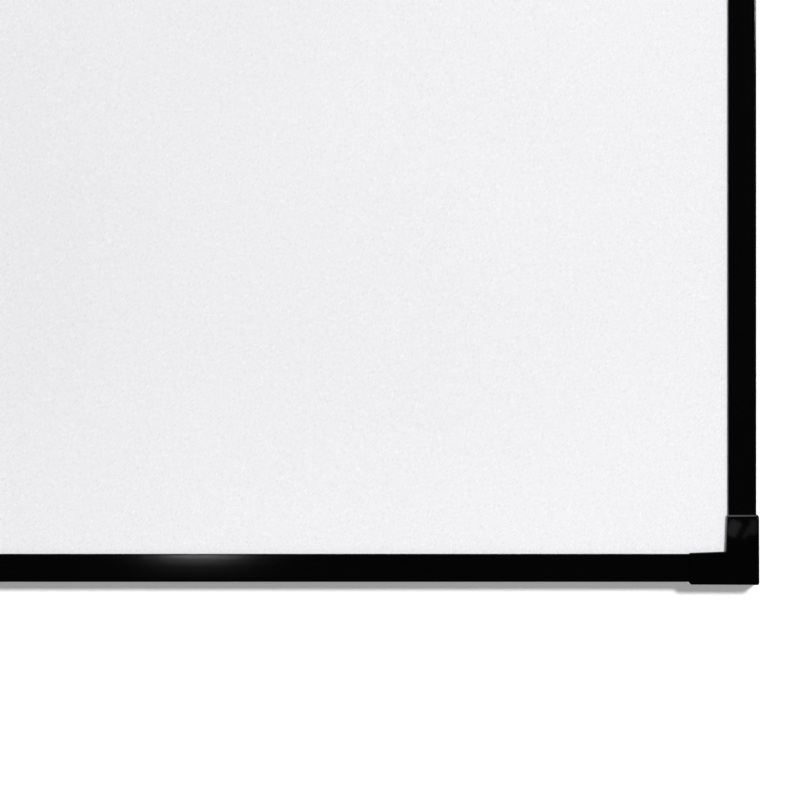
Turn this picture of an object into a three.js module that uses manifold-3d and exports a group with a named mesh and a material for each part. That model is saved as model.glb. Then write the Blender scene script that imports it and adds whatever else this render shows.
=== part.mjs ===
// Fixed frame projector screen for a wall: a thin gloss-black aluminium frame with a moulded cap over
// each corner, and a white screen fabric stretched inside it by rods and spring clips.
// Millimetres. +Z is up, the picture faces -Y and the wall is at +Y. The origin is the middle of the box
// round the whole screen.
//
// Sections are drawn as (u, v): u runs inwards from a rail's outer edge, v runs back from its front face.

import * as THREE from 'three';
import { mergeVertices } from 'three/addons/utils/BufferGeometryUtils.js';
import Module from 'manifold-3d';

const wasm = await Module();
wasm.setup();

// Driving dimensions.

// The picture that shows inside the frame, 16:9.
const pictureWidth = 1860;
const pictureHeight = 1046;

// Clearance between pieces that seat on each other.
const seat = 0.3;

// The frame's rear face stands this far off the wall.
const standOff = 3;

// Rail section.
const faceWidth = 20;
const railDepth = 30;
const railWall = 1.6;
const ledgeWall = 1.2;
const outerEdgeRadius = 0.9;
const innerEdgeRadius = 0.5;
const lipDepth = 3;
const flangeReach = 14;
const anchorDepth = 14;
const anchorInset = 4.8;
const anchorTip = 18;
const ribReach = 3;

// Screen fabric, its hem and the rod in the hem's sleeve.
const fabricThickness = 0.5;
const hemWidth = 25;
const hemEndInset = 10;
const fabricCornerReach = 4;
const rodRadius = 2;
const rodInset = 10.5;
const rodEndInset = 5;

// Spring clips that pull the rods outwards.
const longSideClips = 8;
const shortSideClips = 5;
const clipWidth = 14;
const clipThickness = 1.2;
const clipTipGap = 0.6;
const clipWrap = THREE.MathUtils.degToRad(120);
const notchPlay = 0.8;
const notchSidePlay = 2;

// Corner keys inside the rails, and the screws that hold them.
const keyThickness = 3;
const keyWidth = 10.6;
const keyLeg = 70;
const screwFromCorner = 58;
const screwRadius = 1.9;
const screwPlay = 0.4;
const screwShank = 5.4;
const screwHeadRadius = 3.6;
const screwHeadHeight = 2;
const screwHeadRim = 0.8;

// Corner caps.
const capLeg = 48;
const capWall = 1.8;
const capOuterDraft = 0.2;
const capInnerWall = 1.4;
const capInnerDraft = 1;
const capEdgeRadius = 0.8;
const capCornerRadius = 1.6;
const capEndRadius = 2.5;
const capInsideRadius = 0.4;
const capRampLength = 3.2;
const capRampDrop = 1.5;
const capFabricGap = 0.5;
const capLipThickness = 1.5;
const capLipReach = 3;

// Upright support bar behind the fabric, and the foot at each of its ends.
const barWidth = 30;
const barThickness = 8;
const barWall = 1.5;
const footWidth = 34;
const footDepth = 8.1;
const footInset = 15.7;
const footRadius = 2;
const plugLength = 19;

// Wall hangers.
const hangerFromCorner = 380;
const hangerWidth = 100;
const hangerThickness = 2;
const hangerHookInset = 7;
const hangerPlateEnd = 60;
const hangerCornerRadius = 4;
const slotLength = 20;
const slotWidth = 5.5;
const slotSpacing = 60;
const slotInset = 40;

// How far a cutting shape runs past the face that it opens.
const cutOver = 1;

// Sizes that follow from these.
const outerWidth = pictureWidth + 2 * faceWidth;
const outerHeight = pictureHeight + 2 * faceWidth;
const wallPlane = railDepth + standOff;
const flangeFront = railDepth - railWall;
const ribBack = flangeFront - keyThickness - 2 * seat;
const ribTip = railWall + ribReach;
const fabricFront = lipDepth + seat;
const fabricBack = fabricFront + fabricThickness;
const hemBack = fabricBack + fabricThickness;
const sleeveBore = rodRadius + seat;
const sleeveRadius = sleeveBore + fabricThickness;
const rodDepth = fabricFront + sleeveRadius;
const notchInset = rodInset + sleeveBore + clipThickness + notchPlay;
const keyFront = ribBack + seat;
const keyBack = flangeFront - seat;
const keyInset = railWall + seat;
const screwInset = keyInset + keyWidth / 2;
const screwSeat = railDepth + seat;
const capFront = -(seat + capWall);
const capOuter = seat + capWall;
const capInner = seat + capInnerWall;
const barDepth = keyBack - footDepth / 2;
const frameMiddle = (capFront + wallPlane) / 2;

// Each side is built along x with its outer edge at z = 0, then turned and moved out by its reach. The
// long sides carry the wall hangers, named by the hand that each end of the side has in the frame.
const longSide = { length: outerWidth, reach: outerHeight / 2, clips: longSideClips };
const shortSide = { length: outerHeight, reach: outerWidth / 2, clips: shortSideClips };
const sides = [
  { ...longSide, name: 'top', turn: 0, hands: ['left', 'right'] },
  { ...shortSide, name: 'right', turn: Math.PI / 2 },
  { ...longSide, name: 'bottom', turn: Math.PI, hands: ['right', 'left'] },
  { ...shortSide, name: 'left', turn: -Math.PI / 2 },
];

const corners = [
  { name: 'bottom_left', turn: 0, x: -outerWidth / 2, z: -outerHeight / 2 },
  { name: 'top_left', turn: Math.PI / 2, x: -outerWidth / 2, z: outerHeight / 2 },
  { name: 'top_right', turn: Math.PI, x: outerWidth / 2, z: outerHeight / 2 },
  { name: 'bottom_right', turn: -Math.PI / 2, x: outerWidth / 2, z: -outerHeight / 2 },
];

// Joining and cutting.

function solidOf(geometry) {
  const bare = geometry.clone();
  bare.deleteAttribute('normal');
  bare.deleteAttribute('uv');
  const merged = mergeVertices(bare, 1e-4);
  return new wasm.Manifold(new wasm.Mesh({
    numProp: 3,
    vertProperties: merged.attributes.position.array,
    triVerts: Uint32Array.from(merged.index.array),
  }));
}

function geometryOf(solid) {
  const mesh = solid.getMesh();
  const geometry = new THREE.BufferGeometry();
  geometry.setAttribute('position', new THREE.BufferAttribute(mesh.vertProperties, 3));
  geometry.setIndex(new THREE.BufferAttribute(mesh.triVerts, 1));
  geometry.computeVertexNormals();
  return geometry;
}

function joined(geometries) {
  return geometryOf(geometries.map(solidOf).reduce((whole, piece) => whole.add(piece)));
}

function cutBy(geometry, tools) {
  return geometryOf(tools.map(solidOf).reduce((whole, tool) => whole.subtract(tool), solidOf(geometry)));
}

function overlapOf(geometry, other) {
  return geometryOf(solidOf(geometry).intersect(solidOf(other)));
}

// Shapes.

// A block between two places along x, two depths and two heights.
function block([left, right], [front, back], [low, high]) {
  const geometry = new THREE.BoxGeometry(right - left, back - front, high - low);
  geometry.translate((left + right) / 2, (front + back) / 2, (low + high) / 2);
  return geometry;
}

// A (u, v) section drawn out along x, centred. Its outer edge lies at z = 0 and u runs down.
function drawnOut(section, length, curveSegments = 2) {
  const settings = { depth: length, bevelEnabled: false, curveSegments };
  const geometry = new THREE.ExtrudeGeometry(section, settings);
  geometry.translate(0, 0, -length / 2);
  geometry.rotateY(Math.PI / 2);
  return geometry;
}

// An (x, z) outline as a plate between two depths.
function plate(outline, front, back, curveSegments = 2) {
  const settings = { depth: back - front, bevelEnabled: false, curveSegments };
  const geometry = new THREE.ExtrudeGeometry(outline, settings);
  geometry.translate(0, 0, -back);
  geometry.rotateX(Math.PI / 2);
  return geometry;
}

// A round pin or hole that runs from front to back.
function pin(x, z, radius, front, back) {
  const geometry = new THREE.CylinderGeometry(radius, radius, back - front, 12);
  geometry.translate(x, (front + back) / 2, z);
  return geometry;
}

// Adds the round that joins the lines from a corner to its two neighbours.
function addRound(path, before, corner, after, radius) {
  const back = before.clone().sub(corner).normalize();
  const on = after.clone().sub(corner).normalize();
  const halfAngle = back.angleTo(on) / 2;
  const centre = back.clone().add(on).setLength(radius / Math.sin(halfAngle)).add(corner);
  const tangent = radius / Math.tan(halfAngle);
  const start = back.clone().multiplyScalar(tangent).add(corner).sub(centre).angle();
  const end = on.clone().multiplyScalar(tangent).add(corner).sub(centre).angle();
  path.absarc(centre.x, centre.y, radius, start, end, on.cross(back) < 0);
}

// A closed outline through [x, y, radius] corners.
function roundedOutline(points) {
  const shape = new THREE.Shape();
  const at = (i) => new THREE.Vector2(...points[(i + points.length) % points.length]);
  points.forEach((point, i) => addRound(shape, at(i - 1), at(i), at(i + 1), point[2]));
  return shape;
}

// The outline of a strip of even thickness that follows a line of points.
function stripOutline(points, thickness) {
  const left = [];
  const right = [];
  points.forEach((point, i) => {
    const last = Math.max(i, 1);
    const next = Math.min(i + 1, points.length - 1);
    const arriving = points[last].clone().sub(points[last - 1]).normalize();
    const leaving = points[next].clone().sub(points[next - 1]).normalize();
    const along = arriving.clone().add(leaving).normalize();
    const across = new THREE.Vector2(-along.y, along.x);
    across.multiplyScalar(thickness / 2 / along.dot(arriving));
    left.push(point.clone().add(across));
    right.unshift(point.clone().sub(across));
  });
  return new THREE.Shape([...left, ...right]);
}

// Finishes.

function finish(color, roughness, metalness) {
  return new THREE.MeshStandardMaterial({ color, roughness, metalness, flatShading: true });
}

const glossBlackCoat = () => finish(0x070708, 0.22, 0.3);
const glossBlackPlastic = () => finish(0x060607, 0.18, 0);
const mattBlackPlastic = () => finish(0x161618, 0.6, 0);
const whiteFabric = () => finish(0xf1f0f4, 0.85, 0);
const zincSteel = () => finish(0xb4b6ba, 0.35, 1);
const glassFibre = () => finish(0xd8d4c4, 0.5, 0);
const millAluminium = () => finish(0xa9abae, 0.4, 1);
const blackSteel = () => finish(0x101012, 0.5, 0.4);

function named(name, geometry, material) {
  const mesh = new THREE.Mesh(geometry, material);
  mesh.name = name;
  return mesh;
}

// Rail: face, outer wall, inner lip against the fabric, anchor ledge for the clips, rib that carries the
// corner key, and rear flange. Both ends are mitred.

function railSection() {
  const halfLip = ledgeWall / 2;
  const ledgeBack = anchorDepth + ledgeWall;
  const shape = new THREE.Shape();
  shape.absarc(outerEdgeRadius, outerEdgeRadius, outerEdgeRadius, Math.PI, 1.5 * Math.PI, false);
  shape.absarc(faceWidth - innerEdgeRadius, innerEdgeRadius, innerEdgeRadius, -Math.PI / 2, 0, false);
  shape.lineTo(faceWidth, lipDepth);
  shape.lineTo(faceWidth - railWall, lipDepth);
  shape.lineTo(faceWidth - railWall, railWall);
  shape.lineTo(railWall, railWall);
  shape.lineTo(railWall, anchorDepth);
  shape.lineTo(anchorInset + halfLip, anchorDepth);
  shape.absarc(anchorInset, anchorTip - halfLip, halfLip, 0, Math.PI, false);
  shape.lineTo(anchorInset - halfLip, ledgeBack);
  shape.lineTo(railWall, ledgeBack);
  shape.lineTo(railWall, ribBack - ledgeWall);
  shape.lineTo(ribTip, ribBack - ledgeWall);
  shape.lineTo(ribTip, ribBack);
  shape.lineTo(railWall, ribBack);
  shape.lineTo(railWall, flangeFront);
  shape.lineTo(flangeReach, flangeFront);
  shape.lineTo(flangeReach, railDepth);
  shape.lineTo(0, railDepth);
  return shape;
}

function mitreEnds(geometry, length) {
  const position = geometry.attributes.position;
  for (let i = 0; i < position.count; i += 1) {
    const end = length / 2 + position.getZ(i) - seat / Math.SQRT2;
    position.setX(i, Math.sign(position.getX(i)) * end);
  }
}

function rail(side) {
  const geometry = drawnOut(railSection(), side.length);
  mitreEnds(geometry, side.length);
  const holeRadius = screwRadius + screwPlay;
  const holeAt = side.length / 2 - screwFromCorner;
  const holes = [-holeAt, holeAt].map((x) => pin(x, -screwInset, holeRadius, keyBack, screwSeat));
  return named(`${side.name}_rail`, cutBy(geometry, holes), glossBlackCoat());
}

// Rod along a side, in the fabric's sleeve.

function rod(side) {
  const length = side.length - 2 * (faceWidth + rodEndInset);
  const geometry = new THREE.CylinderGeometry(rodRadius, rodRadius, length, 12);
  geometry.rotateZ(Math.PI / 2);
  geometry.translate(0, rodDepth, -rodInset);
  return named(`tension_rod_${side.name}`, geometry, glassFibre());
}

// Clip: a bent spring strip from the anchor ledge's lip round the inner side of the rod.

function clipPlaces(side) {
  const pitch = (side.length - 2 * faceWidth) / side.clips;
  return Array.from({ length: side.clips }, (_, i) => (i + 0.5 - side.clips / 2) * pitch);
}

function clipSection() {
  const anchor = new THREE.Vector2(anchorInset, anchorTip - ledgeWall / 2);
  const rodCentre = new THREE.Vector2(rodInset, rodDepth);
  const anchorBend = ledgeWall / 2 + seat + clipThickness / 2;
  const rodBend = rodRadius + seat + clipThickness / 2;
  const between = rodCentre.clone().sub(anchor);
  const leaning = Math.atan2(between.y, between.x);
  const tangentAngle = leaning + Math.acos((anchorBend - rodBend) / between.length());
  const tip = new THREE.Vector2(anchor.x - anchorBend, anchorDepth + ledgeWall + clipTipGap);
  const bends = new THREE.Path();
  bends.absarc(anchor.x, anchor.y, anchorBend, Math.PI, tangentAngle, true);
  bends.absarc(rodCentre.x, rodCentre.y, rodBend, tangentAngle, -clipWrap, true);
  return stripOutline([tip, ...bends.getPoints(3)], clipThickness);
}

function clips(side) {
  return clipPlaces(side).map((x, i) => {
    const clip = named(`tension_clip_${side.name}_${i + 1}`, drawnOut(clipSection(), clipWidth), zincSteel());
    clip.position.x = x;
    return clip;
  });
}

// Screen fabric: one sheet, hemmed round the rods on its four sides and notched where a clip reaches in.

function onSide(side, geometry) {
  const place = new THREE.Matrix4().makeRotationY(side.turn);
  place.multiply(new THREE.Matrix4().makeTranslation(0, 0, side.reach));
  return geometry.clone().applyMatrix4(place);
}

function sleeve(length) {
  const sides = 12;
  const phase = Math.PI / sides;
  const ring = new THREE.Shape();
  ring.absarc(rodInset, rodDepth, sleeveRadius, phase, phase + 2 * Math.PI, false);
  const bore = new THREE.Path();
  bore.absarc(rodInset, rodDepth, sleeveBore, phase, phase + 2 * Math.PI, false);
  ring.holes.push(bore);
  return drawnOut(ring, length, sides / 2);
}

// The hem's second layer leaves the sleeve and lies on the back of the sheet.
function hem(length) {
  const midRadius = (sleeveBore + sleeveRadius) / 2;
  const midDepth = (fabricFront + fabricBack) / 2;
  const leaving = rodInset + Math.sqrt(midRadius ** 2 - (rodDepth - hemBack) ** 2);
  const layer = new THREE.Shape();
  layer.moveTo(rodInset, midDepth);
  layer.lineTo(faceWidth + hemWidth, midDepth);
  layer.lineTo(faceWidth + hemWidth, hemBack);
  layer.lineTo(leaving, hemBack);
  return drawnOut(layer, length);
}

function notch(x) {
  const halfWidth = clipWidth / 2 + notchSidePlay;
  const outer = -(rodInset - 2 * sleeveRadius);
  const depths = [lipDepth - cutOver, rodDepth + 2 * sleeveRadius];
  return block([x - halfWidth, x + halfWidth], depths, [-notchInset, outer]);
}

function screenFabric() {
  const depths = [fabricFront, fabricBack];
  const centred = (half) => [-half, half];
  const hemHalf = (length) => length / 2 - faceWidth - hemEndInset;
  const corner = faceWidth - fabricCornerReach;
  const pieces = [
    block(centred(outerWidth / 2 - corner), depths, centred(outerHeight / 2 - corner)),
    block(centred(hemHalf(outerWidth)), depths, centred(outerHeight / 2 - rodInset)),
    block(centred(outerWidth / 2 - rodInset), depths, centred(hemHalf(outerHeight))),
  ];
  const notches = [];
  for (const side of sides) {
    const length = 2 * hemHalf(side.length);
    pieces.push(onSide(side, sleeve(length)), onSide(side, hem(length)));
    notches.push(...clipPlaces(side).map((x) => onSide(side, notch(x))));
  }
  return named('screen_fabric', cutBy(joined(pieces), notches), whiteFabric());
}

// Wall hanger: a bent steel strip that is screwed to the wall. Its trough takes the rail's rear flange.

function hangerSection() {
  const hookDepth = keyBack - hangerThickness / 2;
  const plateDepth = wallPlane - hangerThickness / 2;
  const saddle = flangeReach + seat + hangerThickness / 2;
  const bend = seat + hangerThickness / 2;
  const tip = new THREE.Vector2(hangerHookInset, hookDepth);
  const first = new THREE.Vector2(saddle, hookDepth);
  const second = new THREE.Vector2(saddle, plateDepth);
  const end = new THREE.Vector2(hangerPlateEnd, plateDepth);
  const bends = new THREE.Path();
  addRound(bends, tip, first, second, bend);
  addRound(bends, first, second, end, bend);
  return stripOutline([tip, ...bends.getPoints(2), end], hangerThickness);
}

function slot(x) {
  const halfWidth = slotWidth / 2;
  const straight = (slotLength - slotWidth) / 2;
  const shape = new THREE.Shape();
  shape.absarc(x + straight, -slotInset, halfWidth, -Math.PI / 2, Math.PI / 2, false);
  shape.absarc(x - straight, -slotInset, halfWidth, Math.PI / 2, 1.5 * Math.PI, false);
  return plate(shape, railDepth, wallPlane + cutOver, 3);
}

function hanger(side, hand, x) {
  const half = hangerWidth / 2;
  const rounds = roundedOutline([
    [-half, -hangerPlateEnd, hangerCornerRadius],
    [half, -hangerPlateEnd, hangerCornerRadius],
    [half, -hangerHookInset, hangerCornerRadius / 2],
    [-half, -hangerHookInset, hangerCornerRadius / 2],
  ]);
  const strip = drawnOut(hangerSection(), hangerWidth + 2 * cutOver);
  const trimmed = overlapOf(strip, plate(rounds, 0, wallPlane + cutOver));
  const slots = [-slotSpacing / 2, slotSpacing / 2].map(slot);
  const mesh = named(`wall_hanger_${side.name}_${hand}`, cutBy(trimmed, slots), blackSteel());
  mesh.position.x = x;
  return mesh;
}

function hangers(side) {
  const x = side.length / 2 - hangerFromCorner;
  return [hanger(side, side.hands[0], -x), hanger(side, side.hands[1], x)];
}

// Upright support bar, and the foot that seats each end between a rail's rib and its flange.

function foot(side) {
  const half = footWidth / 2;
  const shoe = roundedOutline([
    [-half, -footInset, footRadius],
    [half, -footInset, footRadius],
    [half, -(ribTip + seat), footRadius],
    [-half, -(ribTip + seat), footRadius],
  ]);
  const plugHalfWidth = barWidth / 2 - barWall - seat;
  const plugHalfDepth = barThickness / 2 - barWall - seat;
  const plug = block(
    [-plugHalfWidth, plugHalfWidth],
    [barDepth - plugHalfDepth, barDepth + plugHalfDepth],
    [-(footInset + plugLength), -(footInset - footRadius)],
  );
  const geometry = joined([plate(shoe, keyBack - footDepth, keyBack), plug]);
  return named(`support_foot_${side.name}`, geometry, mattBlackPlastic());
}

function rectangle(halfWidth, halfHeight, PathClass = THREE.Path) {
  const path = new PathClass();
  path.moveTo(-halfWidth, -halfHeight);
  path.lineTo(halfWidth, -halfHeight);
  path.lineTo(halfWidth, halfHeight);
  path.lineTo(-halfWidth, halfHeight);
  return path;
}

function supportBar() {
  const section = rectangle(barWidth / 2, barThickness / 2, THREE.Shape);
  section.holes.push(rectangle(barWidth / 2 - barWall, barThickness / 2 - barWall));
  const length = outerHeight - 2 * (footInset + seat);
  const geometry = new THREE.ExtrudeGeometry(section, { depth: length, bevelEnabled: false });
  geometry.translate(0, barDepth, -length / 2);
  return named('support_bar', geometry, millAluminium());
}

// Corner pieces, drawn with their legs along +x and +z from the frame's outer corner.

function cornerKey(corner) {
  const inner = keyInset + keyWidth;
  const outline = new THREE.Shape();
  outline.moveTo(keyInset, keyInset);
  outline.lineTo(keyLeg, keyInset);
  outline.lineTo(keyLeg, inner);
  outline.lineTo(inner, inner);
  outline.lineTo(inner, keyLeg);
  outline.lineTo(keyInset, keyLeg);
  for (const [x, z] of screwPlaces()) {
    const hole = new THREE.Path();
    hole.absarc(x, z, screwRadius + seat, 0, 2 * Math.PI, false);
    outline.holes.push(hole);
  }
  return named(`corner_key_${corner.name}`, plate(outline, keyFront, keyBack, 6), zincSteel());
}

function screwPlaces() {
  return [[screwFromCorner, screwInset], [screwInset, screwFromCorner]];
}

function screws(corner) {
  const headBack = screwSeat + screwHeadHeight;
  const profile = [
    [0, screwSeat - screwShank],
    [screwRadius, screwSeat - screwShank],
    [screwRadius, screwSeat],
    [screwHeadRadius, screwSeat],
    [screwHeadRadius, screwSeat + screwHeadRim],
    [screwHeadRadius - screwHeadRim, headBack],
    [0, headBack],
  ];
  return screwPlaces().map(([x, z], i) => {
    const geometry = new THREE.LatheGeometry(profile.map(([r, v]) => new THREE.Vector2(r, v)), 12);
    const screw = named(`corner_screw_${corner.name}_${i + 1}`, geometry, zincSteel());
    screw.position.set(x, 0, z);
    return screw;
  });
}

// Cap: a moulded shell over the mitred corner. Its front edges are rounded, its legs narrow a little
// and curve down to the rail at their ends, the inner wall stops short of the fabric, and a lip snaps
// behind the rails.

function capOutline() {
  const legOuter = -(capOuter - capOuterDraft);
  const legInner = faceWidth + capInner - capInnerDraft;
  const root = faceWidth + capInner;
  return roundedOutline([
    [-capOuter, -capOuter, capCornerRadius],
    [capLeg, legOuter, capEndRadius],
    [capLeg, legInner, capCornerRadius],
    [root, root, capInsideRadius],
    [legInner, capLeg, capCornerRadius],
    [legOuter, capLeg, capEndRadius],
  ]);
}

// The cutter that curves the end of the leg along +z down to the rail.
function capRamp() {
  const start = capLeg - capRampLength;
  const past = capLeg + cutOver;
  const radius = (capRampLength ** 2 + capRampDrop ** 2) / (2 * capRampDrop);
  const turn = Math.asin(capRampLength / radius);
  const cutter = new THREE.Shape();
  cutter.absarc(-start, capFront + radius, radius, -Math.PI / 2, -Math.PI / 2 - turn, true);
  cutter.lineTo(-past, capFront + capRampDrop);
  cutter.lineTo(-past, capFront - cutOver);
  cutter.lineTo(-start, capFront - cutOver);
  return drawnOut(cutter, 2 * past, 4);
}

function cap(corner) {
  const back = railDepth + seat + capLipThickness;
  const bevelled = new THREE.ExtrudeGeometry(capOutline(), {
    depth: back - capFront,
    bevelThickness: capEdgeRadius,
    bevelSize: capEdgeRadius,
    bevelOffset: -capEdgeRadius,
    bevelSegments: 3,
    curveSegments: 2,
  });
  bevelled.translate(0, 0, -(back + capEdgeRadius));
  bevelled.rotateX(Math.PI / 2);
  const past = capLeg + capEdgeRadius;
  const inside = [-seat, faceWidth + seat];
  const railSpace = [-seat, screwSeat];
  const through = back + 3 * capEdgeRadius;
  const geometry = cutBy(bevelled, [
    block([-past, past], [back, through], [-past, past]),
    block([-seat, past], railSpace, inside),
    block(inside, railSpace, [-seat, past]),
    block([capLipReach, past], [flangeFront, through], [capLipReach, past]),
    block([faceWidth - seat, past], [fabricFront - capFabricGap, through], [faceWidth - seat, past]),
    capRamp(),
    capRamp().rotateY(Math.PI / 2),
  ]);
  return named(`corner_cap_${corner.name}`, geometry, glossBlackPlastic());
}

// Assembly.

function sideGroup(side) {
  const group = new THREE.Group();
  group.add(rail(side), rod(side), ...clips(side));
  if (side.hands) group.add(...hangers(side), foot(side));
  group.position.set(side.reach * Math.sin(side.turn), 0, side.reach * Math.cos(side.turn));
  group.rotation.y = side.turn;
  return group;
}

function cornerGroup(corner) {
  const group = new THREE.Group();
  group.add(cap(corner), cornerKey(corner), ...screws(corner));
  group.position.set(corner.x, 0, corner.z);
  group.rotation.y = corner.turn;
  return group;
}

const screen = new THREE.Group();
screen.name = 'fixed_frame_projector_screen';
screen.add(...sides.map(sideGroup), ...corners.map(cornerGroup), screenFabric(), supportBar());
screen.position.y = -frameMiddle;
screen.updateMatrixWorld(true);

export default screen;
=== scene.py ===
"""Surfaces, materials and studio of a wall-mounted fixed frame projector screen.

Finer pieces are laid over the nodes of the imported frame, and every place comes from those nodes' boxes.
Lengths are in metres. +Z is up, the picture faces -Y and the wall is at +Y.

Sections are drawn as (u, v): u runs inwards from a rail's outer edge, v runs back from its front face.
A side is built along x with its outer edge at z = 0, a corner piece with its legs along +x and +z, and
both are then turned to their place.
"""

import math
import random

import bmesh
import bpy
from bpy.props import FloatProperty, FloatVectorProperty, IntProperty, PointerProperty
from bpy.types import Operator, Panel, PropertyGroup
from mathutils import Matrix, Quaternion, Vector


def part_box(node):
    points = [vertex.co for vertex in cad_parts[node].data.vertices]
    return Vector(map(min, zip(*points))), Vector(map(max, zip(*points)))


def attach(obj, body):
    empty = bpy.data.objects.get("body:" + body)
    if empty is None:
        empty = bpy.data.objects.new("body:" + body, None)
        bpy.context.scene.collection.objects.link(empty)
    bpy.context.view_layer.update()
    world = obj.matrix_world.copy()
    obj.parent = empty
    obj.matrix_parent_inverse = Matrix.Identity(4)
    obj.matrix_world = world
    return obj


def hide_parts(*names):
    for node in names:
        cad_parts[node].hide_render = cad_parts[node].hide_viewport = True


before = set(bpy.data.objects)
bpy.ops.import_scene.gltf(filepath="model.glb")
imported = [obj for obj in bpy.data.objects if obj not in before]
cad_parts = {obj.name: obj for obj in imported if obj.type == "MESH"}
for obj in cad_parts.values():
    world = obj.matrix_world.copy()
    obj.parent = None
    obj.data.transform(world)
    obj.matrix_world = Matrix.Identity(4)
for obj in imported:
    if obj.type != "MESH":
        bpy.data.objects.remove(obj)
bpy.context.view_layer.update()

bl_info = {
    "name": "Fixed Frame Projector Screen",
    "version": (1, 0, 0),
    "blender": (4, 5, 0),
    "location": "View3D > Sidebar > Projector Screen",
    "description": "Dresses a fixed frame projector screen and its studio",
    "category": "Add Mesh",
}

MM = 0.001
BODY = "root"

# Clearance between pieces that seat on each other.
SEAT = 0.3 * MM

# How far a cutter reaches past what it cuts.
PAST = 1 * MM

# Points nearer than this are welded into one, and lengths nearer than a hair are taken as equal.
WELD = 0.01 * MM
HAIR = 0.001 * MM

# Pitch of the cloth's slanted yarns, and how far they lean from upright, in degrees.
PITCH = 2.0 * MM
SLANT = 42

# Facets of a section's rounds, the rail's bowed face, the cap's rounds and ramp, and the cloth's sleeve.
ROUND_STEPS = 6
BOW_STEPS = 12
CAP_STEPS = 8
RAMP_STEPS = 12
SLEEVE_STEPS = 20

# How far the edges of the small pieces are broken.
CLIP_EDGE = 0.12 * MM
HANGER_EDGE = 0.25 * MM
SHOE_EDGE = 0.5 * MM
PLUG_EDGE = 0.3 * MM
ROD_CHAMFER = 0.4 * MM

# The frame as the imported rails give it.
TOP_LOW, TOP_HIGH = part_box("top_rail")
HALF_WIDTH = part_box("right_rail")[1].x
HALF_HEIGHT = TOP_HIGH.z
FRONT = TOP_LOW.y
RAIL_DEPTH = TOP_HIGH.y - TOP_LOW.y
FACE = TOP_HIGH.z - TOP_LOW.z
WALL_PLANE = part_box("wall_hanger_top_left")[1].y

# Each side: the turn about Y from the top side, the length, and how far it lies from the middle.
SIDES = {
    "top": (0, 2 * HALF_WIDTH, HALF_HEIGHT),
    "right": (90, 2 * HALF_HEIGHT, HALF_WIDTH),
    "bottom": (180, 2 * HALF_WIDTH, HALF_HEIGHT),
    "left": (-90, 2 * HALF_HEIGHT, HALF_WIDTH),
}

# Each corner: the turn about Y from the bottom left one, and which way it lies in x and z.
CORNERS = {
    "bottom_left": (0, -1, -1),
    "top_left": (90, -1, 1),
    "top_right": (180, 1, 1),
    "bottom_right": (-90, 1, -1),
}

# The photograph's frame in pixels, the sensor in millimetres, and how near and far the camera sees.
VIEW_PIXELS = 800
SENSOR = 36
CLIP = (0.1, 60)

# The long lamp overhead that draws the line along a cap's end. Lamps stand and aim from the screen's
# lower right corner at the wall.
STRIP_AT = (-0.08, -0.64, 1.02)
STRIP_POWER = 0.37
STRIP_SIZE = (0.3, 1.0)
STRIP_CONE = 80

# Soft fills that leave no highlight: name, place, target, watts and cone in degrees.
FILL_SIZE = (0.3, 0.3)
FILLS = (
    ("low_fill", (0.3, -1, -0.4), (0, 0, 0), 0.45, 180),
    ("left_fill", (-1.6, -4, 1.0), (-2.24, 0, 0.85), 6.3, 52),
    ("top_fill", (-0.2, -4, 1.8), (-0.25, 0, 1.96), 6.2, 48),
)

# The lamp behind the screen, from the screen's middle.
REAR_AT = (-1.6, 3.0, 1.4)
REAR_POWER = 60
REAR_SIZE = (1.6, 1.6)

# The glint on the bottom rail: where it shows in the view, how far the rail leans there, watts and size.
GLINT_PIXEL = (199, 554)
GLINT_LEAN = 0.0049
GLINT_POWER = 0.072
GLINT_SIZE = (0.11, 0.018)

# Cards that show in the cap's gloss, at this distance before it: name, pixel, size in pixels, turn in
# degrees and radiance.
CARD_BEFORE = 0.3
CARDS = (
    ("cap_window", 733, 528, 12, 17, -28, 0.33),
    ("cap_streak", 746.5, 532, 3.5, 14, -30, 0.22),
    ("cap_pane", 753, 527, 8, 15, -8, 0.2),
)

# The even light: where it turns from before the screen to behind it, by the y of its direction, and for
# the gloss black its two strengths and where it turns.
FILL_TURN = (-0.1, 0.3)
MIRRORED = (0.012, 0.85)
MIRRORED_TURN = (0.0, 0.5)

# Wall and floor: half their width, where they lie, colour, own glow, and where they fade into the white.
WALL_HALF = 4
WALL_GAP = 0.2 * MM
WALL_PAINT = ((1, 1, 1), 0.16, 1.9, 2.8)
FLOOR_HALF = 6
FLOOR_HEIGHT = -1.2
FLOOR_PAINT = ((0.85, 0.85, 0.85), 0.15, 2.0, 4.0)


def side_place(side):
    """Matrix from a side's own frame to its place on the screen."""
    turn, _, reach = SIDES[side]
    turned = Matrix.Rotation(math.radians(turn), 4, "Y")
    return Matrix.Translation((0, FRONT, 0)) @ turned @ Matrix.Translation((0, 0, reach))


def corner_place(corner):
    """Matrix from a corner's own frame to its place on the screen."""
    turn, x, z = CORNERS[corner]
    moved = Matrix.Translation((x * HALF_WIDTH, FRONT, z * HALF_HEIGHT))
    return moved @ Matrix.Rotation(math.radians(turn), 4, "Y")


def local_box(node, place):
    """Lowest and highest corners of a node in the frame of a side or corner."""
    back = place.inverted()
    ends = [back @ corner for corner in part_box(node)]
    return (
        Vector(min(end[i] for end in ends) for i in range(3)),
        Vector(max(end[i] for end in ends) for i in range(3)),
    )


# Sizes and colours that a user can change.


def millimetres(name, description, default):
    """A length, with its default in millimetres."""
    return FloatProperty(
        name=name, description=description, default=default * MM, unit="LENGTH", precision=5,
    )


def tint(name, description, default):
    """The colour of a finish."""
    return FloatVectorProperty(
        name=name, description=description, default=default, subtype="COLOR", size=3, min=0, max=1,
    )


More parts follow.
